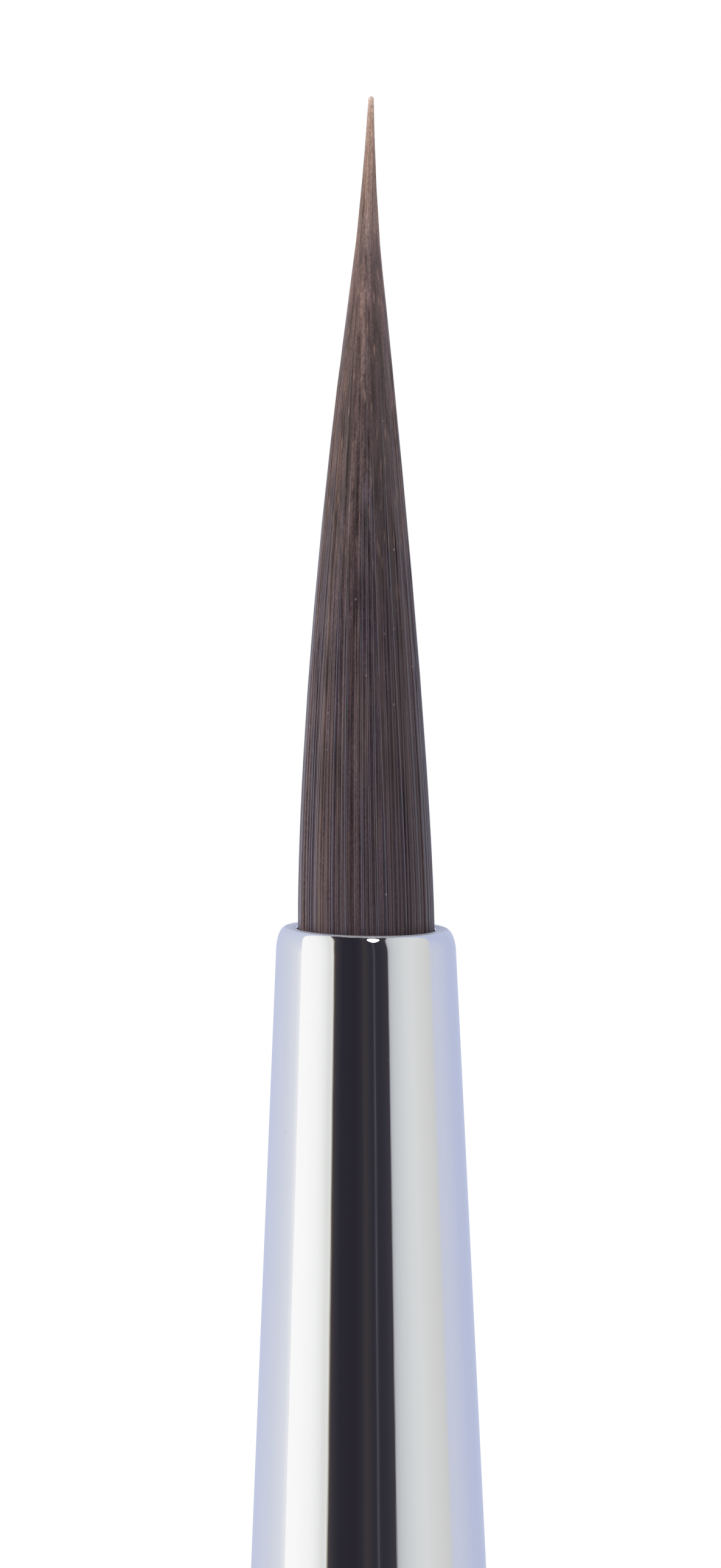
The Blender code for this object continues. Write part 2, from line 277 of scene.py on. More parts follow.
def add_node(tree, kind, values=None, **settings):
    """A node with its settings and the values of its input sockets."""
    node = tree.nodes.new(kind)
    for key, value in settings.items():
        setattr(node, key, value)
    set_inputs(tree, node, values or {})
    return node


def new_material(name):
    """A material with its node tree, its Principled shader and the object's own coordinates."""
    material = bpy.data.materials.new(name)
    material.use_nodes = True
    tree = material.node_tree
    place = tree.nodes.new("ShaderNodeTexCoord").outputs["Object"]
    return material, tree, tree.nodes["Principled BSDF"], place


def mix_colour(tree, share, first, second, blend="MIX"):
    """Mixes two colours, each a socket or three numbers."""
    node = add_node(tree, "ShaderNodeMix", data_type="RGBA", blend_type=blend)
    first, second = [
        colour if isinstance(colour, bpy.types.NodeSocket) else (*colour, 1.0) for colour in (first, second)
    ]
    set_inputs(tree, node, {0: share, 6: first, 7: second})  # 6 and 7 are the node's colour sockets
    return node.outputs[2]


def map_range(tree, value, low, high, to_low=0.0, to_high=1.0, smooth=False):
    """Maps low and high to to_low and to_high, and holds the ends beyond them."""
    node = add_node(tree, "ShaderNodeMapRange", {0: value, 1: low, 2: high, 3: to_low, 4: to_high})
    if smooth:
        node.interpolation_type = "SMOOTHSTEP"
    return node.outputs[0]


def math_node(tree, operation, first, second=0.0):
    return add_node(tree, "ShaderNodeMath", {0: first, 1: second}, operation=operation).outputs[0]


def plus(tree, first, second):
    return math_node(tree, "ADD", first, second)


def minus(tree, first, second):
    return math_node(tree, "SUBTRACT", first, second)


def times(tree, first, second):
    return math_node(tree, "MULTIPLY", first, second)


def power(tree, first, second):
    return math_node(tree, "POWER", first, second)


def bump(tree, shader, height, strength, distance):
    node = add_node(tree, "ShaderNodeBump", {"Height": height, "Strength": strength, "Distance": distance})
    tree.links.new(node.outputs["Normal"], shader.inputs["Normal"])


def colour_ramp(tree, where, stops):
    """A colour ramp with its stops as (position from 0 to 1, colour)."""
    node = add_node(tree, "ShaderNodeValToRGB", {0: where})
    ramp = node.color_ramp
    while len(ramp.elements) > 1:
        ramp.elements.remove(ramp.elements[-1])
    ramp.elements[0].position = stops[0][0]
    ramp.elements[0].color = (*stops[0][1], 1.0)
    for position, colour in stops[1:]:
        ramp.elements.new(position).color = (*colour, 1.0)
    return node.outputs[0]


def ramp_between(tree, where, stops):
    """A colour ramp with its stops as (place, colour), from the first place to the last."""
    low, high = stops[0][0], stops[-1][0]
    inside = [((place - low) / (high - low), colour) for place, colour in stops]
    return colour_ramp(tree, map_range(tree, where, low, high), inside)


# Shader groups


def new_group(name, values, output):
    """An empty shader group with its inputs and its output.

    The inputs are a Vector and the numbers in values, which are their defaults. The output is a number too.
    """
    group = bpy.data.node_groups.new(name, "ShaderNodeTree")
    group.interface.new_socket(name="Vector", in_out="INPUT", socket_type="NodeSocketVector")
    for label, default in values.items():
        socket = group.interface.new_socket(name=label, in_out="INPUT", socket_type="NodeSocketFloat")
        socket.default_value = default
    group.interface.new_socket(name=output, in_out="OUTPUT", socket_type="NodeSocketFloat")
    given = group.nodes.new("NodeGroupInput").outputs
    return group, given, group.nodes.new("NodeGroupOutput").inputs[output]


def lengthwise_lines():
    """Fine lines that run along the brush: hair strands, draw marks in metal, or wood grain."""
    defaults = {"Across": 15000.0, "Along": 300.0, "Sharpness": 0.5}
    group, given, out = new_group("lengthwise_lines", defaults, "Lines")
    across, along = given["Across"], given["Along"]
    scale = add_node(group, "ShaderNodeCombineXYZ", {0: across, 1: across, 2: along})
    factors = {0: given["Vector"], 1: scale.outputs[0]}
    stretched = add_node(group, "ShaderNodeVectorMath", factors, operation="MULTIPLY")
    values = {"Vector": stretched.outputs[0], "Scale": 1.0, "Detail": 3.0, "Roughness": given["Sharpness"]}
    noise = add_node(group, "ShaderNodeTexNoise", values)
    group.links.new(noise.outputs["Fac"], out)
    return group


def fine_specks():
    """Scattered specks: pits in plating, dust in lacquer, pale grains on hair."""
    defaults = {"Scale": 6000.0, "Size": 0.12, "Share": 0.2}
    group, given, out = new_group("fine_specks", defaults, "Specks")
    cells = add_node(group, "ShaderNodeTexVoronoi", {"Vector": given["Vector"], "Scale": given["Scale"]})
    near = map_range(group, cells.outputs["Distance"], given["Size"], 0.0)
    split = add_node(group, "ShaderNodeSeparateColor", {0: cells.outputs["Color"]})
    chosen = math_node(group, "LESS_THAN", split.outputs[0], given["Share"])
    group.links.new(times(group, near, chosen), out)
    return group


def placed(tree, builder, values):
    """Output of the shader group that a builder makes, built once and placed in this tree."""
    group = bpy.data.node_groups.get(builder.__name__) or builder()
    return add_node(tree, "ShaderNodeGroup", values, node_tree=group).outputs[0]


def lines_on(tree, place, across, along, sharpness):
    """Lines along the brush. across and along say how many fit in a metre."""
    return placed(
        tree, lengthwise_lines, {"Vector": place, "Across": across, "Along": along, "Sharpness": sharpness}
    )


def specks_on(tree, place, scale, size, share):
    """Specks, with scale cells in a metre. size is a part of a cell, and share says how many have a speck."""
    return placed(tree, fine_specks, {"Vector": place, "Scale": scale, "Size": size, "Share": share})


def noise_on(tree, place, scale, detail):
    """Plain noise, with scale blots in a metre."""
    node = add_node(tree, "ShaderNodeTexNoise", {"Vector": place, "Scale": scale, "Detail": detail})
    return node.outputs["Fac"]


# Hair

END_HEIGHTS = 200  # number of heights at which a hair may end
COVER = 0.9  # the lower, the more hairs run on than just cover the tuft
SHORT_HAIR = 0.4  # the lower rings of a hair that ends below this share are drawn together

# Heights of the rings of a hair: through the stretch that bends, as shares of the tuft, and then on to the
# hair's end, as shares of what is left of it
BEND_SHARES = (0.0, 0.028, 0.056, 0.084, 0.112, 0.14, 0.17, 0.2)
HAIR_PARTS = (0.18, 0.38, 0.6, 0.81, 0.94, 1.0)

# How hairs differ from each other
PLACE_STRAY = 0.3  # off its even place, as a part of the distance to the next hair
DRIFT = 2.4  # furthest drift round the tuft, in wanders; most hairs drift far less
DRIFT_POWER = 1.5  # how late it drifts
SWAY = 0.25  # from side to side on the way up, in wanders
SWAY_TURN = 9  # radians of that wave from the mouth to the tip
THICKNESS_RANGE = (0.75, 1.25)  # of the thickness in the settings
END_STEP = 0.6180339  # golden ratio, which deals long and short hairs evenly round the tuft
END_STRAY = 0.1  # off the length dealt out
END_FRAY = 0.0015  # how unevenly the longest hairs end, as a share of the tuft
TAPER = 0.88  # how much thinner a hair's end is
TAPER_START = 0.62  # share of the hair at which it starts to taper
UNEVENNESS = 0.02  # how much deeper a hair may lie, as a part of the tuft's radius
BLEACH_ABOVE = 0.45  # hairs that end lower than this share of the tuft keep their colour
BLEACHED_END = (0.93, 0.985)  # shares of the hair between which it gets its bleached end

# Lightness of the hairs, from 0 to 1
MIDDLE_TONE = 0.45
TONE_SPREAD = 0.31
CLUMPS = ((0.12, 5, 0.7), (0.11, 11, 2.1), (0.09, 23, 1.3))  # strength, number round the tuft, phase
# painted shade on the hairs that face the camera a little right of the middle
FRONT_SHADE_CLUMP = (0.26, 4.95, 0.25)  # strength, angle and width

# The closed heart under the hairs
HEART_SIDES = 64
HEART_RINGS = 24
HEART_ROUNDING = (0.4, 0.7, 0.9, 0.98)  # rings of its rounded end, as parts of that end's height
HEART_REACH = 0.974  # of the tuft's radius
HEART_SWELL = 0.016  # how much more it fills higher up
HEART_SWELL_RANGE = (0.45, 0.85)  # shares of the tuft over which it swells
# darker than the middle tone: painted shade where the heart shows between the hairs
HEART_SHADE_TONE = 0.285

# What each point of the hair carries: its hair's lightness, its height as a share of the tuft, how bleached
# it is, and its place across the tuft
HAIR_VALUES = ("hair_tone", "hair_share", "hair_tip", "hair_side")


def tuft_radius(share):
    """Outline of the tuft, from 0 at the mouth to 1 at the tip. Below the mouth it stays as at the mouth."""
    if share <= 0:
        return TUFT_RADIUS
    body = TUFT_RADIUS * (1 - OVERSHOOT * share**FULLNESS)
    needle = NEEDLE_TIP + (NEEDLE_BASE - NEEDLE_TIP) * (1 - share) / (1 - NEEDLE_START)
    smooth = (body + needle + math.hypot(body - needle, NEEDLE_BLEND)) / 2
    return min(smooth, TUFT_RADIUS)


def tuft_centre(share):
    """Middle of the tuft, which bows a little and leans at its tip."""
    above = max(share, 0.0)
    lean = TIP_LEAN * ((1 + LEAN_BOW) * above * above - LEAN_BOW * above)
    return Vector((lean, 0.0, MOUTH + TUFT_LENGTH * share))


def thinning(share):
    """How much finer hairs are where the tuft narrows."""
    return math.sqrt(tuft_radius(share) / TUFT_RADIUS)


def ending(draw):
    """Share of the tuft at which a hair ends. So many end lower down that the rest just cover the tuft."""
    for share in steps_between(0.0, 1.0, END_HEIGHTS):
        if thinning(share) <= draw * COVER:
            return share
    return 1.0


def hair_shares(end):
    """Heights of a hair's rings: the root, close together through the bend, and on to the end."""
    squeeze = min(1.0, end / SHORT_HAIR)
    low = [share * squeeze for share in BEND_SHARES]
    return [ROOT_SHARE, *low, *(low[-1] + (end - low[-1]) * part for part in HAIR_PARTS)]


def hair_values(mesh):
    """Gives a mesh the numbers that each point of the hair carries for its material."""
    for name in HAIR_VALUES:
        mesh.attributes.new(name, "FLOAT", "POINT")
    return [mesh.attributes[name].data for name in HAIR_VALUES]


def side_of(cosine):
    """0 at the left edge of the tuft and 1 at the right, at the back as in front."""
    return 0.5 + 0.5 * cosine


class HairLayer:
    """One layer of hairs that all reach about the same share of the tuft's radius."""

    def __init__(self, name, settings, count, reach, seed):
        self.name = name
        self.thickness = settings.thickness
        self.wander = settings.wander
        self.count = count
        self.reach = reach
        self.dice = random.Random(seed)

    def hair_path(self, index):
        """(centre, radius, share, side) of each ring of one hair."""
        dice = self.dice
        angle = math.tau * (index + dice.uniform(-PLACE_STRAY, PLACE_STRAY)) / self.count
        drift = dice.uniform(-1, 1) ** 3 * DRIFT * self.wander
        sway = dice.uniform(-1, 1) * self.wander * SWAY
        phase = dice.uniform(0, math.tau)
        depth = dice.uniform(0.0, UNEVENNESS)
        size = self.thickness / 2 * dice.uniform(*THICKNESS_RANGE)
        end = ending((index * END_STEP + dice.uniform(-END_STRAY, END_STRAY)) % 1.0)
        if end == 1.0:
            end -= END_FRAY + abs(dice.gauss(0.0, END_FRAY))
        rings = []
        for share in hair_shares(end):
            above = max(share, 0.0)
            body = size * thinning(share) * (1 - TAPER * smooth_rise(above / end, TAPER_START, 1.0))
            turn = angle + drift * above**DRIFT_POWER + sway * math.sin(above * SWAY_TURN + phase) * above
            out = tuft_radius(share) * (self.reach - depth) - body
            centre = tuft_centre(share) + Vector((math.cos(turn), math.sin(turn), 0.0)) * max(out, 0.0)
            rings.append((centre, body, share, side_of(math.cos(turn))))
        return rings

    def make(self, sides):
        """Makes one straight hair, bends a copy of it along each path and joins the copies."""
        pattern = ringed_column(sides, len(BEND_SHARES + HAIR_PARTS), pointed=True)
        hairs = []
        for index in range(self.count):
            mesh = pattern.data.copy()
            hair = bpy.data.objects.new(f"{self.name}_{index}", mesh)
            bpy.context.scene.collection.objects.link(hair)
            rings = self.hair_path(index)
            tone = self.tone(index)
            tones, shares, tips, across = hair_values(mesh)
            end = rings[-1][2]
            bleach = self.dice.uniform(0.0, 1.0) if end > BLEACH_ABOVE else 0.0
            for i, point in enumerate(mesh.vertices):
                centre, radius, share, side = rings[round(point.co.z)]
                point.co = centre + Vector((point.co.x, point.co.y, 0.0)) * radius
                tones[i].value = tone
                shares[i].value = share
                tips[i].value = bleach * smooth_rise(share / end, *BLEACHED_END)
                across[i].value = side
            hairs.append(hair)
        bpy.data.objects.remove(pattern)
        return joined(self.name, hairs)

    def tone(self, index):
        """Lightness of one hair: neighbours lie in broad light and dark clumps, and differ a little. Hairs
        that face the camera a little right of the middle get painted shade.
        """
        place = math.tau * index / self.count
        tone = MIDDLE_TONE
        for strength, number, phase in CLUMPS:
            tone += strength * math.sin(place * number + phase)
        # painted shade on the hairs that face the camera a little right of the middle
        strength, angle, width = FRONT_SHADE_CLUMP
        tone -= strength * math.exp(-(((place - angle) / width) ** 2))
        return min(max(tone + self.dice.gauss(0.0, TONE_SPREAD), 0.0), 1.0)


def joined(name, pieces):
    """Joins pieces into one."""
    deselect_all()
    for piece in pieces:
        piece.select_set(True)
    bpy.context.view_layer.objects.active = pieces[0]
    bpy.ops.object.join()
    return named(bpy.context.object, name)


# Painted light and shade across the tuft, as (side, factor on the colour): low down and higher up. The edges
# are painted lighter and the hair a little right of the middle darker, as the studio light falls; the factors
# go by left and right alone, so the back gets the same.
LOW_SIDE_SHADING = (
    (0.0, (1.44, 1.42, 1.38)),
    (0.05, (1.38, 1.36, 1.32)),
    (0.15, (1.09, 1.09, 1.12)),
    (0.25, (1.34, 1.35, 1.38)),
    (0.35, (1.15, 1.15, 1.17)),
    (0.45, (1.05, 1.08, 1.15)),
    (0.55, (0.80, 0.83, 0.91)),
    (0.65, (0.83, 0.87, 1.02)),
    (0.78, (0.62, 0.61, 0.65)),
    (0.9, (0.84, 0.82, 0.85)),
    (1.0, (1.02, 0.98, 1.0)),
)
HIGH_SIDE_SHADING = (
    (0.0, (1.20, 0.96, 0.66)),
    (0.15, (1.06, 0.99, 0.88)),
    (0.25, (0.82, 0.79, 0.73)),
    (0.35, (1.44, 1.42, 1.38)),
    (0.45, (1.40, 1.45, 1.52)),
    (0.55, (1.17, 1.21, 1.29)),
    (0.65, (0.54, 0.53, 0.58)),
    (0.75, (0.57, 0.55, 0.60)),
    (0.85, (0.74, 0.72, 0.75)),
    (1.0, (1.72, 1.49, 1.27)),
)

# Lines along the hair, as (number in a metre across, number along, sharpness)
HAIR_STRANDS = (40000.0, 500.0, 0.6)
HAIR_MOTTLE = (50000.0, 25000.0, 0.7)
HAIR_CLUMPS = (9000.0, 300.0, 0.5)
HAIR_BANDS = (17000.0, 800.0, 0.5)
# Specks on the hair, as (number in a metre, size, share)
HAIR_DASHES = (26000.0, 0.34, 0.55)
HAIR_GRAINS = (9000.0, 0.15, 0.14)
DASH_STRETCH = (1.0, 1.0, 0.09)  # draws the dashes out along the hair

# Ranges in the hair's material, as (low, high, value at low, value at high). The values are 0 and 1 where
# none are given.
STRAND_STREAKS = (0.25, 0.75, -0.22, 0.22)
STRANDS_CALM = (0.45, 0.8, 1.0, 0.3)  # the streaks weaken towards the tip
MOTTLE_BLOTCHES = (0.25, 0.75, -0.5, 0.5)
SIDE_CONTRAST = (0.1, 0.72, 1.25, 0.65)  # hairs differ less towards the right
DULL_TO_GLOSSY = (0.85, 0.1, 0.0, 0.65)
CLUMPS_TO_RUSSET = (0.48, 0.64, 0.0, 0.5)
DARK_TO_TAN = (0.35, 0.82)
SHADE_OF_TAN = (0.1, 0.9, 0.62, 1.4)  # light hairs have lighter tan ends
BANDS = (0.35, 0.65, -0.5, 0.5)
BANDS_RISE = (0.15, 0.45, 0.55, 1.0)  # the bands strengthen above the mouth
BANDS_FALL = (0.72, 0.9, 1.0, 0.45)  # and weaken again at the tip
# shares of the tuft where the painted light and shade across it changes from low to high, and where it fades
# out at the tip
LOW_TO_HIGH_SHADING = (0.30, 0.58)
SIDE_SHADING_END = (0.80, 0.92, 1.0, 0.0)
DASHES_BEGIN = (0.35, 0.6)
STRAND_ROUGHNESS = (0.3, 0.7, 0.14, 0.26)
DULL_ROUGHNESS = (0.2, 0.9, 0.0, 0.1)
SIDE_ROUGHNESS = (0.5, 0.72, 0.0, 0.12)
GLOSS_BEGINS = (0.0, 0.012)  # the last of the hair before the metal has no gloss
STREAK_SHIFT = 0.16  # how far streaks move the change to tan up or down
DULL_TURNS = 17.0  # deals dull and glossy hairs out evenly among the light and dark ones

# Colours of the hair, besides those in its settings. The dark ones go by tone and the tans by height.
LIGHT_TONE = 0.85
PALE_HAIR = (0.14, 0.095, 0.08)
# bluish base for the glossy hairs: a painted tint that makes their glints read lavender
GLINT_TINT_HAIR = (0.050, 0.044, 0.068)
RUSSET_HAIR = (0.085, 0.053, 0.046)
BLEACHED_HAIR = (0.36, 0.24, 0.175)
DASH_COLOUR = (0.36, 0.225, 0.165)
GRAIN_COLOUR = (0.30, 0.25, 0.24)
TANS = (
    (0.45, (0.101, 0.068, 0.062)),
    (0.675, (0.140, 0.093, 0.083)),
    (0.77, (0.183, 0.118, 0.106)),
    (0.80, (0.190, 0.127, 0.116)),
    (0.858, (0.348, 0.240, 0.206)),
    (0.888, (0.460, 0.313, 0.262)),
    (0.93, (0.504, 0.333, 0.261)),
    (0.968, (0.632, 0.418, 0.316)),
)
TIP_PLACE = 0.985  # where the tip's own colour comes in
LAST_TIP = (0.92, 0.70, 0.58)


def hair_material(settings, name, depth):
    """Dark brown hair with fine pale glints and tan ends. depth is painted shade: it darkens hair that lies
    lower, in the gaps between the outer hairs.
    """
    material, tree, shader, place = new_material(name)
    tone, share, tip, side = [
        add_node(tree, "ShaderNodeAttribute", attribute_name=value).outputs["Fac"] for value in HAIR_VALUES
    ]
    strands = lines_on(tree, place, *HAIR_STRANDS)
    calm = map_range(tree, share, *STRANDS_CALM, smooth=True)
    streak = times(tree, map_range(tree, strands, *STRAND_STREAKS), calm)
    blotch = map_range(tree, lines_on(tree, place, *HAIR_MOTTLE), *MOTTLE_BLOTCHES)
    contrast = map_range(tree, side, *SIDE_CONTRAST, smooth=True)
    toned = plus(tree, times(tree, minus(tree, tone, MIDDLE_TONE), contrast), MIDDLE_TONE)
    # depth takes off painted shade
    shade = minus(tree, plus(tree, toned, plus(tree, streak, blotch)), depth)
    dark = colour_ramp(
        tree, shade,
        [(0.0, settings.dark), (MIDDLE_TONE, settings.body), (LIGHT_TONE, settings.light), (1.0, PALE_HAIR)],
    )
    dull = math_node(tree, "FRACT", times(tree, tone, DULL_TURNS))
    glossy = map_range(tree, dull, *DULL_TO_GLOSSY)
    # the glints come from the coat; the bluish base paints their lavender tint
    glint_tinted = mix_colour(tree, glossy, dark, GLINT_TINT_HAIR)
    clumps = lines_on(tree, place, *HAIR_CLUMPS)
    brown = mix_colour(tree, map_range(tree, clumps, *CLUMPS_TO_RUSSET, smooth=True), glint_tinted, RUSSET_HAIR)

    along = plus(tree, share, times(tree, streak, STREAK_SHIFT))
    tans = colour_ramp(tree, along, [*TANS, (TIP_PLACE, settings.tip), (1.0, LAST_TIP)])
    shaded = mix_colour(tree, 1.0, tans, map_range(tree, shade, *SHADE_OF_TAN), blend="MULTIPLY")
    whole = mix_colour(tree, map_range(tree, along, *DARK_TO_TAN, smooth=True), brown, shaded)

    spread = times(tree, map_range(tree, share, *BANDS_RISE), map_range(tree, share, *BANDS_FALL))
    band = times(tree, map_range(tree, lines_on(tree, place, *HAIR_BANDS), *BANDS), spread)
    banded = mix_colour(tree, 1.0, whole, plus(tree, band, 1.0), blend="MULTIPLY")
    # painted light and shade across the tuft, by left and right
    higher = map_range(tree, share, *LOW_TO_HIGH_SHADING, smooth=True)
    low_shading, high_shading = [ramp_between(tree, side, stops) for stops in (LOW_SIDE_SHADING, HIGH_SIDE_SHADING)]
    sides = mix_colour(tree, higher, low_shading, high_shading)
    side_shaded = mix_colour(tree, map_range(tree, share, *SIDE_SHADING_END), banded, sides, blend="MULTIPLY")
    bleached = mix_colour(tree, tip, side_shaded, BLEACHED_HAIR)
    stretched = add_node(tree, "ShaderNodeMapping", {"Vector": place, "Scale": DASH_STRETCH}).outputs[0]
    dashes = times(tree, specks_on(tree, stretched, *HAIR_DASHES), map_range(tree, share, *DASHES_BEGIN))
    dashed = mix_colour(tree, dashes, bleached, DASH_COLOUR)

    rough = plus(tree, map_range(tree, strands, *STRAND_ROUGHNESS), map_range(tree, dull, *DULL_ROUGHNESS))
    set_inputs(
        tree, shader,
        {
            "Base Color": mix_colour(tree, specks_on(tree, place, *HAIR_GRAINS), dashed, GRAIN_COLOUR),
            "Roughness": plus(tree, rough, map_range(tree, side, *SIDE_ROUGHNESS, smooth=True)),
            "Coat Weight": times(tree, glossy, map_range(tree, share, *GLOSS_BEGINS)),
            "Coat Roughness": 0.1,
            "Coat IOR": 1.8,
            "Specular Tint": (1.0, 0.78, 0.80, 1.0),
            "IOR": 1.72,
        },
    )
    bump(tree, shader, times(tree, strands, calm), strength=0.25, distance=0.004 * MM)
    return material


def bend_with_tuft(piece):
    """Bakes the piece's placement into its mesh."""
    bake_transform(piece)


class BRUSH_OT_hair_heart(bpy.types.Operator):
    """Model the closed heart of the tuft, painted dark as shade where it shows between the hairs"""

    bl_idname = "brush.hair_heart"
    bl_label = "Hair heart"

    def execute(self, context):
        settings = context.scene.brush_tuft
        heights = [ROOT_SHARE, ROOT_SHARE / 2, *BEND_SHARES]
        heights += steps_between(BEND_SHARES[-1], ROUND_START, HEART_RINGS)[1:]
        heights += [ROUND_START + (1 - ROUND_START) * part for part in HEART_ROUNDING]
        heart = named(ringed_column(HEART_SIDES, len(heights) - 1), "hair_heart")
        tones, shares, _, across = hair_values(heart.data)
        for i, point in enumerate(heart.data.vertices):
            share = heights[round(point.co.z)]
            rounding = max(share - ROUND_START, 0.0) / (1 - ROUND_START)
            reach = HEART_REACH + HEART_SWELL * smooth_rise(share, *HEART_SWELL_RANGE)
            across[i].value = side_of(point.co.x)
            radius = tuft_radius(share) * reach * math.sqrt(1 - rounding**2)
            point.co = tuft_centre(share) + Vector((point.co.x, point.co.y, 0.0)) * radius
            tones[i].value = HEART_SHADE_TONE
            shares[i].value = share
        heart.data.materials.append(hair_material(settings, "hair_heart", depth=0.0))
        bend_with_tuft(heart)
        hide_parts("hair_core", "hair_core_root")
        return {"FINISHED"}


class BRUSH_OT_inner_hairs(bpy.types.Operator):
    """Lay the layer of hairs under the outer one"""

    bl_idname = "brush.inner_hairs"
    bl_label = "Inner hairs"

    def execute(self, context):
        settings = context.scene.brush_tuft
        layer = HairLayer("inner_hairs", settings, settings.inner_count, reach=0.984, seed=11)
        hairs = layer.make(sides=4)
        # the inner hairs are painted darker, as shade in the gaps under the outer ones
        hairs.data.materials.append(hair_material(settings, "hair_inner", depth=0.05))
        bend_with_tuft(hairs)
        return {"FINISHED"}


class BRUSH_OT_outer_hairs(bpy.types.Operator):
    """Lay the outer layer of hairs"""

    bl_idname = "brush.outer_hairs"
    bl_label = "Outer hairs"

    def execute(self, context):
        settings = context.scene.brush_tuft
        layer = HairLayer("outer_hairs", settings, settings.outer_count, reach=1.006, seed=23)
        hairs = layer.make(sides=5)
        hairs.data.materials.append(hair_material(settings, "hair_outer", depth=0.0))
        bend_with_tuft(hairs)
        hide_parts(*LOCKS)
        return {"FINISHED"}


# Ferrule

BACK_EDGE = 0.3  # rounding of the tube's back edge, as a part of the wall
# Steps along the outline, and round it
BACK_STEPS = 4
CRIMPED_STEPS = 72
CONE_STEPS = 24
LIP_STEPS = 18
LIP_INSIDE_STEPS = 8
FERRULE_ROUND = 160

# Lines in the plating, as (number in a metre across, number along, sharpness)
DRAW_MARKS = (9000.0, 160.0, 0.5)
PLATING_WAVES = (1500.0, 600.0, 0.3)
# Specks in the plating, as (number in a metre, size, share)
PITS = (4200.0, 0.10, 0.10)
DINGS = (1100.0, 0.14, 0.22)
EDGE_BURRS = (30000.0, 2.0)  # (number in a metre, detail)
PLATING_GLOSS = (0.35, 0.7, 0.010, 0.032)  # lines from low to high, and the roughness there
PIT_ROUGHNESS = 0.12
PIT_COLOUR = (0.62, 0.62, 0.64)
# The matt cut edge of the mouth
CUT_START = 0.007 * MM  # below the rim
CUT_FULL = 0.003 * MM
# pale lavender, with the low metallic below: a painted reflection of the pale surroundings, which the key
# lamp lights
CUT_REFLECTION_COLOUR = (0.86, 0.88, 0.96)
CUT_METALLIC = 0.35
CUT_ROUGHNESS = 0.4
# How strongly the marks show in the relief
DRAW_RELIEF = 0.2
DING_RELIEF = 0.6
BURR_RELIEF = 0.9


def groove_dip(settings, height):
    """Depth of the rolled grooves at a height."""
    dip = 0.0
    for i in range(settings.crimps):
        middle = FERRULE_LOW.z + settings.crimp_rise + settings.crimp_spacing * i
        offset = min(abs(height - middle) / (settings.crimp_width / 2), 1.0)
        dip += settings.crimp_depth * (0.5 + 0.5 * math.cos(math.pi * offset))
    return dip


def metal_radius(settings, height):
    """Outer radius of the ferrule: a crimped cylinder below a straight cone."""
    cone_base = FERRULE_LOW.z + settings.crimped
    if height < cone_base:
        return BACK_RADIUS - groove_dip(settings, height)
    share = (height - cone_base) / (MOUTH - cone_base)
    return BACK_RADIUS + (settings.mouth_radius - BACK_RADIUS) * share


def chrome_material(settings):
    """Polished plating: faint draw marks, a few pits, a slightly wavy surface, and a matt cut edge whose pale
    lavender is a painted reflection.
    """
    material, tree, shader, place = new_material("ferrule_chrome")
    lines = lines_on(tree, place, *DRAW_MARKS)
    pits = specks_on(tree, place, *PITS)
    aside, away, height = add_node(tree, "ShaderNodeSeparateXYZ", {0: place}).outputs
    sideways = plus(tree, height, times(tree, aside, math.tan(settings.skew)))
    level = minus(tree, sideways, times(tree, away, math.tan(settings.nod)))
    rim = MOUTH - settings.rim_drop
    cut = map_range(tree, level, rim - CUT_START, rim - CUT_FULL)
    plating = mix_colour(tree, pits, settings.metal, PIT_COLOUR)
    pitted = plus(tree, map_range(tree, lines, *PLATING_GLOSS), times(tree, pits, PIT_ROUGHNESS))
    set_inputs(
        tree, shader,
        {
            # the cut edge gets a painted pale lavender reflection
            "Base Color": mix_colour(tree, cut, plating, CUT_REFLECTION_COLOUR),
            "Metallic": map_range(tree, cut, 0.0, 1.0, 1.0, CUT_METALLIC),
            "Roughness": plus(tree, pitted, times(tree, cut, CUT_ROUGHNESS)),
        },
    )
    dings = times(tree, specks_on(tree, place, *DINGS), DING_RELIEF)
    fine = minus(tree, times(tree, lines, DRAW_RELIEF), dings)
    wavy = plus(tree, fine, lines_on(tree, place, *PLATING_WAVES))
    burrs = times(tree, times(tree, noise_on(tree, place, *EDGE_BURRS), cut), BURR_RELIEF)
    bump(tree, shader, plus(tree, wavy, burrs), strength=1.0, distance=0.0015 * MM)
    return material


class BRUSH_OT_ferrule(bpy.types.Operator):
    """Turn the metal ferrule with its rolled grooves and rounded mouth"""

    bl_idname = "brush.ferrule"
    bl_label = "Ferrule"

    def execute(self, context):
        settings = context.scene.brush_ferrule
        low = FERRULE_LOW.z
        cone_base = low + settings.crimped
        rim = MOUTH - settings.rim_drop
        lip_base = rim - settings.lip_height
        edge = settings.wall * BACK_EDGE
        heights = steps_between(low + edge, cone_base, CRIMPED_STEPS)
        heights += steps_between(cone_base, lip_base, CONE_STEPS)[1:]
        outside = [(metal_radius(settings, height), height) for height in heights]
        outer_lip = []
        for turn in steps_between(0, math.pi / 2, LIP_STEPS)[1:]:
            height = lip_base + settings.lip_height * math.sin(turn)
            inward = settings.lip * (1 - math.cos(turn))
            outer_lip.append((metal_radius(settings, height) - inward, height))
        bore = settings.mouth_radius - settings.wall
        inner_centre = (bore + settings.lip_inside, rim - settings.lip_inside)
        inner_lip = arc(inner_centre, settings.lip_inside, 90, 180, LIP_INSIDE_STEPS)
        inside = [(metal_radius(settings, height) - settings.wall, height) for height in reversed(heights)]
        back_out = arc((BACK_RADIUS - edge, low + edge), edge, -90, -10, BACK_STEPS)
        outline = outside + outer_lip + inner_lip + inside + back_out
        ferrule = spun("ferrule_shell", outline, FERRULE_ROUND)
        for point in ferrule.data.vertices:
            drop = point.co.x * math.tan(settings.skew) - point.co.y * math.tan(settings.nod)
            point.co.z -= drop * smooth_rise(point.co.z, lip_base - settings.lip_height, rim)
        ferrule.data.materials.append(chrome_material(settings))
        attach(ferrule, "brush")
        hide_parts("ferrule")
        return {"FINISHED"}


# Handle

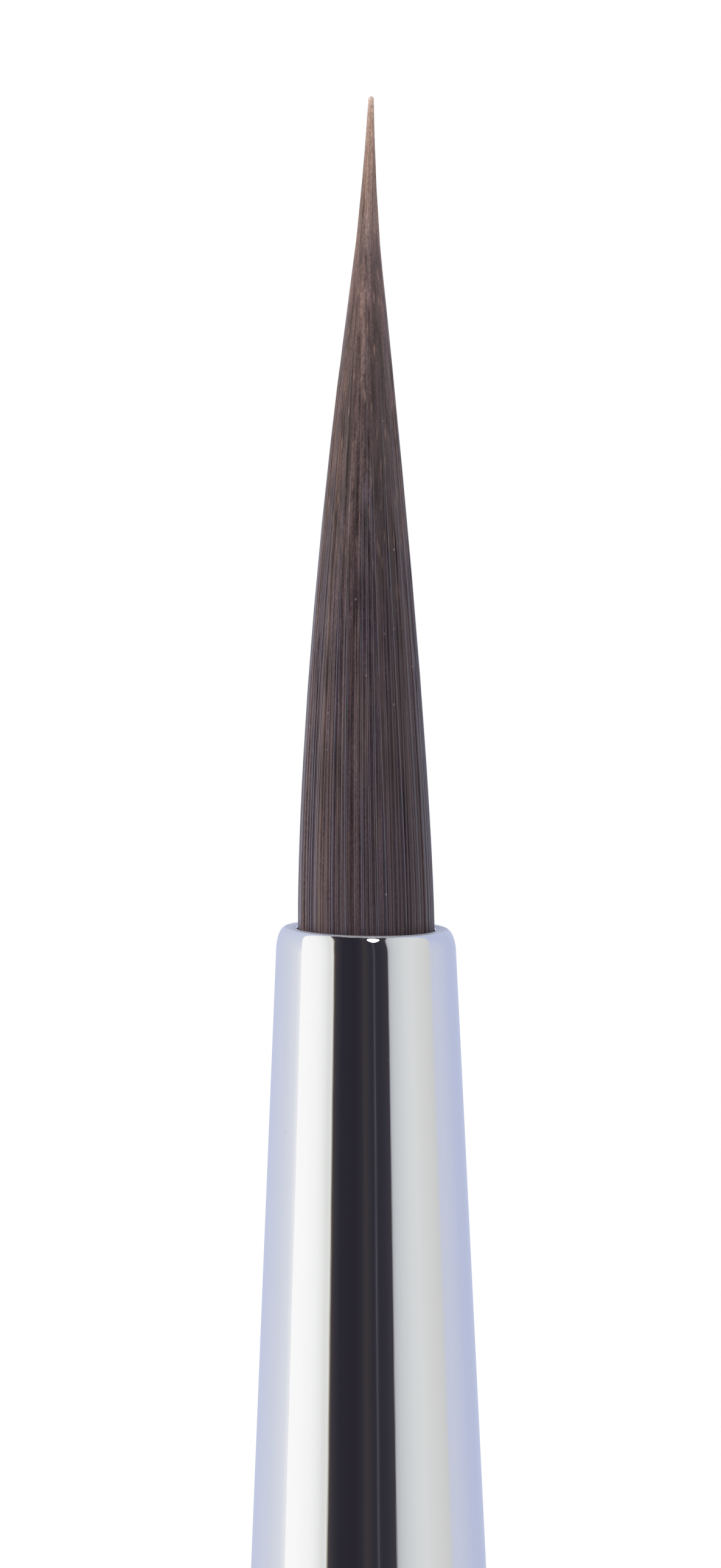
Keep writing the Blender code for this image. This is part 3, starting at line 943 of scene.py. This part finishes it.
FIT = 0.02 * MM  # gap between the wood and the metal
GLUE = 0.14 * MM  # room for glue round the tenon's end
TENON_BEVEL = 0.4 * MM
TAIL_SWELL = 1.35  # how late the tail swells towards the belly
# Steps along the outline, and round it
BUTT_STEPS = 10
HANDLE_STEPS = 90
SHOULDER_STEPS = 6
TENON_STEPS = 48
HANDLE_ROUND = 96

WOOD_GRAIN = (2600.0, 55.0, 0.55)  # (number in a metre across, number along, sharpness)
DUST = (900.0, 0.08, 0.05)  # (number in a metre, size, share)
SCUFFS = (1800.0, 4.0)  # (number in a metre, detail)
# Ranges, as (low, high, value at low, value at high)
BUTT_WEAR = (0.0, 1.6 * MM, 0.62, 0.0)
WEAR_EDGE = (-0.02, 0.05)
GRAIN_SHADE = (0.35, 0.65, 0.35, 1.9)
LACQUER_GLOSS = (0.3, 0.7, 0.14, 0.24)
WORN_ROUGHNESS = 0.4


def handle_radius(settings, height, shoulder):
    """Turned outline: a neck that swells to the belly, then a long thin tail."""
    neck = BACK_RADIUS + settings.step
    belly_radius = HANDLE_HIGH.x
    belly = shoulder - settings.belly_drop
    if height >= belly:
        return neck + (belly_radius - neck) * smooth_rise((shoulder - height) / settings.belly_drop)
    swell = math.sin(height / belly * math.pi / 2) ** TAIL_SWELL
    return settings.butt_radius + (belly_radius - settings.butt_radius) * swell


def lacquer_material(settings):
    """Gloss lacquer over turned wood: grain just telegraphs through, and the butt is a little worn."""
    material, tree, shader, place = new_material("handle_lacquer")
    grain = lines_on(tree, place, *WOOD_GRAIN)
    height = add_node(tree, "ShaderNodeSeparateXYZ", {0: place}).outputs[2]
    scuff = noise_on(tree, place, *SCUFFS)
    worn = map_range(tree, minus(tree, map_range(tree, height, *BUTT_WEAR), scuff), *WEAR_EDGE)
    shade = map_range(tree, grain, *GRAIN_SHADE)
    dark = mix_colour(tree, 1.0, settings.lacquer, shade, blend="MULTIPLY")
    gloss = map_range(tree, scuff, *LACQUER_GLOSS)
    set_inputs(
        tree, shader,
        {
            "Base Color": mix_colour(tree, worn, dark, settings.wood),
            "Roughness": plus(tree, gloss, times(tree, worn, WORN_ROUGHNESS)),
            "Coat Weight": minus(tree, 1.0, worn),
            "Coat Roughness": 0.05,
        },
    )
    relief = plus(tree, grain, specks_on(tree, place, *DUST))
    bump(tree, shader, relief, strength=0.22, distance=0.03 * MM)
    return material


class BRUSH_OT_handle(bpy.types.Operator):
    """Turn the wooden handle with its shoulder, belly, tail and tenon"""

    bl_idname = "brush.handle"
    bl_label = "Handle"

    def execute(self, context):
        settings = context.scene.brush_handle
        metal = context.scene.brush_ferrule
        shoulder = FERRULE_LOW.z - FIT
        rounding = settings.butt_rounding
        outline = [(0.0, 0.0)]
        outline += arc((settings.butt_radius - rounding, rounding), rounding, -90, 0, BUTT_STEPS)
        neck_top = shoulder - settings.step_rounding
        heights = steps_between(rounding, neck_top, HANDLE_STEPS)[1:]
        outline += [(handle_radius(settings, height, shoulder), height) for height in heights]
        corner = (outline[-1][0] - settings.step_rounding, neck_top)
        outline += arc(corner, settings.step_rounding, 0, 90, SHOULDER_STEPS)[1:]
        cone_base = FERRULE_LOW.z + metal.crimped
        for height in steps_between(shoulder, cone_base - FIT, TENON_STEPS):
            outline.append((metal_radius(metal, max(height, FERRULE_LOW.z)) - metal.wall - FIT, height))
        tenon_end = HANDLE_HIGH.z
        for height in (cone_base + FIT, tenon_end - TENON_BEVEL):
            outline.append((metal_radius(metal, height) - metal.wall - GLUE, height))
        outline.append((outline[-1][0] - TENON_BEVEL, tenon_end))
        outline.append((0.0, tenon_end))
        handle = spun("handle_turned", outline, HANDLE_ROUND)
        handle.data.materials.append(lacquer_material(settings))
        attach(handle, "brush")
        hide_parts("handle")
        return {"FINISHED"}


# Pieces inside the ferrule

NOISE_RANGE = (0.3, 0.7)  # where most values of a noise lie


def mottled_material(name, scale, detail, colours, roughness, strength, distance):
    """A finish whose colour, gloss and relief follow one fine noise."""
    material, tree, shader, place = new_material(name)
    mottle = noise_on(tree, place, scale, detail)
    set_inputs(
        tree, shader,
        {
            "Base Color": mix_colour(tree, mottle, *colours),
            "Roughness": map_range(tree, mottle, *NOISE_RANGE, *roughness),
        },
    )
    bump(tree, shader, mottle, strength, distance)
    return material


def resin_material():
    """Set amber glue with a slightly uneven, glossy surface."""
    return mottled_material(
        "glue_resin", scale=2500.0, detail=3.0, colours=((0.60, 0.40, 0.16), (0.45, 0.27, 0.09)),
        roughness=(0.18, 0.32), strength=0.2, distance=0.02 * MM,
    )


def thread_material():
    """Undyed waxed thread with a fuzz of fine fibres."""
    return mottled_material(
        "binding_cotton", scale=16000.0, detail=4.0, colours=((0.68, 0.62, 0.52), (0.48, 0.42, 0.33)),
        roughness=(0.7, 0.9), strength=0.5, distance=0.01 * MM,
    )


class BRUSH_OT_inner_finishes(bpy.types.Operator):
    """Give the glue and the binding thread inside the ferrule their finishes"""

    bl_idname = "brush.inner_finishes"
    bl_label = "Glue and thread"

    def execute(self, context):
        resin = resin_material()
        finishes = {"glue_plug": resin, "tenon_glue": resin, "binding_thread": thread_material()}
        for name, material in finishes.items():
            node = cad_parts[name]
            for slot in node.material_slots:
                slot.material = material
        return {"FINISHED"}


# Studio

# What the metal reflects from in front, as (azimuth in degrees, colour). The camera stands at 0 degrees,
# white card is on the left, a dark room in the middle and grey card on the right.
FRONT = (
    (-92.0, (1.045, 1.045, 1.035)),
    (-77.0, (1.035, 1.035, 1.025)),
    (-63.0, (0.99, 0.99, 0.98)),
    (-57.0, (0.94, 0.945, 0.935)),
    (-51.0, (0.86, 0.87, 0.85)),
    (-49.5, (0.82, 0.83, 0.81)),
    (-46.0, (0.775, 0.785, 0.765)),
    (-42.8, (0.82, 0.83, 0.79)),
    (-41.1, (0.24, 0.21, 0.16)),
    (-40.4, (0.085, 0.07, 0.068)),
    (-39.0, (0.053, 0.047, 0.055)),
    (-36.0, (0.040, 0.037, 0.046)),
    (-30.0, (0.026, 0.024, 0.033)),
    (-14.0, (0.024, 0.021, 0.032)),
    (-7.0, (0.029, 0.027, 0.037)),
    (-2.0, (0.048, 0.041, 0.046)),
    (3.0, (0.038, 0.035, 0.043)),
    (7.0, (0.030, 0.028, 0.038)),
    (9.1, (0.038, 0.036, 0.047)),
    (9.7, (0.078, 0.078, 0.091)),
    (10.6, (0.075, 0.075, 0.087)),
    (11.3, (0.038, 0.035, 0.046)),
    (14.0, (0.031, 0.028, 0.038)),
    (20.0, (0.034, 0.032, 0.043)),
    (27.4, (0.050, 0.044, 0.055)),
    (29.2, (0.48, 0.495, 0.52)),
    (33.0, (0.58, 0.60, 0.61)),
    (40.0, (0.645, 0.67, 0.675)),
    (50.0, (0.715, 0.735, 0.74)),
    (60.0, (0.735, 0.75, 0.75)),
    (80.0, (0.68, 0.685, 0.67)),
    (92.0, (0.63, 0.64, 0.65)),
)
# The pale backdrop behind, as (how far to the left or right, colour)
BACKDROP = (
    (-1.0, (0.88, 0.89, 0.92)),
    (-0.996, (0.79, 0.81, 0.865)),
    (-0.985, (0.74, 0.765, 0.84)),
    (-0.94, (0.69, 0.72, 0.815)),
    (-0.866, (0.65, 0.69, 0.805)),
    (-0.5, (0.595, 0.64, 0.80)),
    (0.0, (0.55, 0.60, 0.78)),
    (0.6, (0.505, 0.555, 0.745)),
    (0.8, (0.52, 0.57, 0.75)),
    (0.9, (0.56, 0.60, 0.755)),
    (1.0, (0.605, 0.64, 0.76)),
)
FRONT_LEAN = (1.34, 2.34)  # how far the front panels lean back overhead, and how suddenly
FRONT_GATHER = (1.7, 2.8)  # how much narrower they get overhead, and how suddenly
BACK_LEAN = (0.4, 0.3)  # how far they reach back overhead, in the middle and more at the sides
BACK_CURL = 2.0  # how suddenly they do
SIDE_REACH = 0.02  # how far they reach back at eye level
PANEL_EDGE = 0.008  # softness of the edge between the front panels and the backdrop

PAPER = ((0.93, 0.92, 0.90), (0.89, 0.88, 0.86))
PAPER_TOOTH = (700.0, 4.0)  # (number in a metre, detail)
PAPER_FADE = (0.06, 0.42, 0.45, 1.0)  # distances from the brush, and how white the paper looks there
FLOOR_RADIUS = 1.2
FLOOR_INSET = 0.6
FLOOR_SIDES = 96

# The soft lamp in front, which stays out of the reflections
KEY_PLACE = (-0.30, -0.55, 0.50)
KEY_SIZE = 0.35
# The small lamp overhead, which only shows in reflections and makes the glint on the lip
TOP_PLACE = (0.060, -0.166, MOUTH + 0.403)
TOP_SIZE = (0.085, 0.25)
TOP_TURN = math.radians(-14)

SENSOR_WIDTH = 36.0  # of the camera, in millimetres
CLIP_START = 0.01


def studio_world():
    """White to the camera, and the studio's panels to everything else."""
    world = bpy.data.worlds.new("studio")
    bpy.context.scene.world = world
    world.use_nodes = True
    tree = world.node_tree
    tree.nodes.clear()
    direction = tree.nodes.new("ShaderNodeTexCoord").outputs["Generated"]
    aside, away, rise = add_node(tree, "ShaderNodeSeparateXYZ", {0: direction}).outputs
    above = math_node(tree, "MAXIMUM", rise, 0.0)
    lean = times(tree, power(tree, above, FRONT_LEAN[1]), FRONT_LEAN[0])
    gather = times(tree, power(tree, above, FRONT_GATHER[1]), FRONT_GATHER[0])
    across = times(tree, aside, plus(tree, gather, 1.0))
    azimuth = math_node(tree, "ARCTAN2", across, minus(tree, lean, away))
    front = ramp_between(tree, math_node(tree, "DEGREES", azimuth), FRONT)
    back = ramp_between(tree, aside, BACKDROP)
    sideways = math_node(tree, "ABSOLUTE", aside)
    spread = plus(tree, times(tree, sideways, BACK_LEAN[1]), BACK_LEAN[0])
    curl = times(tree, power(tree, above, BACK_CURL), spread)
    edge = plus(tree, curl, times(tree, sideways, SIDE_REACH))
    behind = map_range(tree, minus(tree, away, edge), -PANEL_EDGE, PANEL_EDGE, smooth=True)
    seen = mix_colour(tree, behind, front, back)
    rays = tree.nodes.new("ShaderNodeLightPath")
    clear = math_node(tree, "MAXIMUM", rays.outputs["Is Camera Ray"], rays.outputs["Is Transmission Ray"])
    colour = mix_colour(tree, clear, seen, WHITE)
    shine = add_node(tree, "ShaderNodeBackground", {"Color": colour, "Strength": 1.0})
    add_node(tree, "ShaderNodeOutputWorld", {"Surface": shine.outputs[0]})


def floor_material():
    """Pale paper near the brush, which fades into plain white further out."""
    material, tree, shader, place = new_material("floor_paper")
    tooth = noise_on(tree, place, *PAPER_TOOTH)
    set_inputs(tree, shader, {"Base Color": mix_colour(tree, tooth, *PAPER), "Roughness": 0.9})
    bump(tree, shader, tooth, strength=0.1, distance=0.05 * MM)
    flat = add_node(tree, "ShaderNodeVectorMath", {0: place, 1: (1.0, 1.0, 0.0)}, operation="MULTIPLY")
    away = add_node(tree, "ShaderNodeVectorMath", {0: flat.outputs[0]}, operation="LENGTH").outputs["Value"]
    far = map_range(tree, away, *PAPER_FADE, smooth=True)
    rays = tree.nodes.new("ShaderNodeLightPath")
    seen = times(tree, far, rays.outputs["Is Camera Ray"])
    white = add_node(tree, "ShaderNodeEmission", {"Color": (*WHITE, 1.0), "Strength": 1.0})
    blend = add_node(tree, "ShaderNodeMixShader", {0: seen, 1: shader.outputs[0], 2: white.outputs[0]})
    tree.links.new(blend.outputs[0], tree.nodes["Material Output"].inputs[0])
    return material


def aimed(location, target, roll=0.0):
    """Rotation of a camera or a lamp at a place that looks at a target."""
    turn = (Vector(target) - Vector(location)).to_track_quat("-Z", "Y")
    return (turn @ Euler((0, 0, roll)).to_quaternion()).to_euler()


def add_lamp(name, place, target, energy, roll=0.0):
    """An area lamp that points at a target."""
    bpy.ops.object.light_add(type="AREA", location=place)
    lamp = bpy.context.object
    lamp.name = name
    lamp.data.energy = energy
    lamp.rotation_euler = aimed(lamp.location, target, roll)
    return lamp


class BRUSH_OT_studio(bpy.types.Operator):
    """Set up the floor, the light and the camera"""

    bl_idname = "brush.studio"
    bl_label = "Studio"

    def execute(self, context):
        scene = context.scene
        settings = scene.brush_studio
        deselect_all()
        bpy.ops.mesh.primitive_circle_add(vertices=FLOOR_SIDES, radius=FLOOR_RADIUS, fill_type="NGON")
        floor = context.object
        floor.name = "floor"
        edit_all()
        bpy.ops.mesh.inset(thickness=FLOOR_INSET)
        bpy.ops.object.mode_set(mode="OBJECT")
        floor.data.materials.append(floor_material())
        studio_world()
        key = add_lamp("key_lamp", KEY_PLACE, (CAD_BOX[0] + CAD_BOX[1]) / 2, settings.key)
        key.data.size = KEY_SIZE
        key.visible_glossy = False
        top = add_lamp("top_lamp", TOP_PLACE, (0, 0, MOUTH), settings.top, TOP_TURN)
        top.data.shape = "ELLIPSE"
        top.data.size, top.data.size_y = TOP_SIZE
        top.visible_diffuse = False
        tilt = settings.tilt
        aim = Vector((-settings.view_aside, 0.0, MOUTH + settings.view_rise / math.cos(tilt)))
        back = Vector((0.0, -math.cos(tilt), math.sin(tilt)))
        place = aim + back * settings.distance
        bpy.ops.object.camera_add(location=place)
        camera = context.object
        camera.rotation_euler = aimed(place, aim, settings.roll)
        camera.data.sensor_width = SENSOR_WIDTH
        camera.data.lens = SENSOR_WIDTH * settings.distance / settings.view_height
        camera.data.clip_start = CLIP_START
        scene.camera = camera
        scene.view_settings.view_transform = "Standard"
        return {"FINISHED"}


PIECES = (
    BRUSH_OT_hair_heart,
    BRUSH_OT_inner_hairs,
    BRUSH_OT_outer_hairs,
    BRUSH_OT_ferrule,
    BRUSH_OT_handle,
    BRUSH_OT_inner_finishes,
    BRUSH_OT_studio,
)


class BRUSH_PT_sidebar(bpy.types.Panel):
    """Lists the pieces of the brush in the 3D view's sidebar"""

    bl_label = "Detail Brush"
    bl_idname = "BRUSH_PT_sidebar"
    bl_space_type = "VIEW_3D"
    bl_region_type = "UI"
    bl_category = "Brush"

    def draw(self, context):
        for operator in PIECES:
            self.layout.operator(operator.bl_idname)


GROUPS = {
    "brush_tuft": TuftSettings,
    "brush_ferrule": FerruleSettings,
    "brush_handle": HandleSettings,
    "brush_studio": StudioSettings,
}


def register():
    for cls in (*GROUPS.values(), *PIECES, BRUSH_PT_sidebar):
        bpy.utils.register_class(cls)
    for name, cls in GROUPS.items():
        setattr(bpy.types.Scene, name, PointerProperty(type=cls))


def unregister():
    for name in GROUPS:
        delattr(bpy.types.Scene, name)
    for cls in reversed((*GROUPS.values(), *PIECES, BRUSH_PT_sidebar)):
        bpy.utils.unregister_class(cls)


def main():
    register()
    for name in ("Cube", "Light", "Camera"):  # what Blender starts with
        if name in bpy.data.objects:
            bpy.data.objects.remove(bpy.data.objects[name])
    bpy.ops.brush.hair_heart()
    bpy.ops.brush.inner_hairs()
    bpy.ops.brush.outer_hairs()
    bpy.ops.brush.ferrule()
    bpy.ops.brush.handle()
    bpy.ops.brush.inner_finishes()
    bpy.ops.brush.studio()


if __name__ == "__main__":
    main()
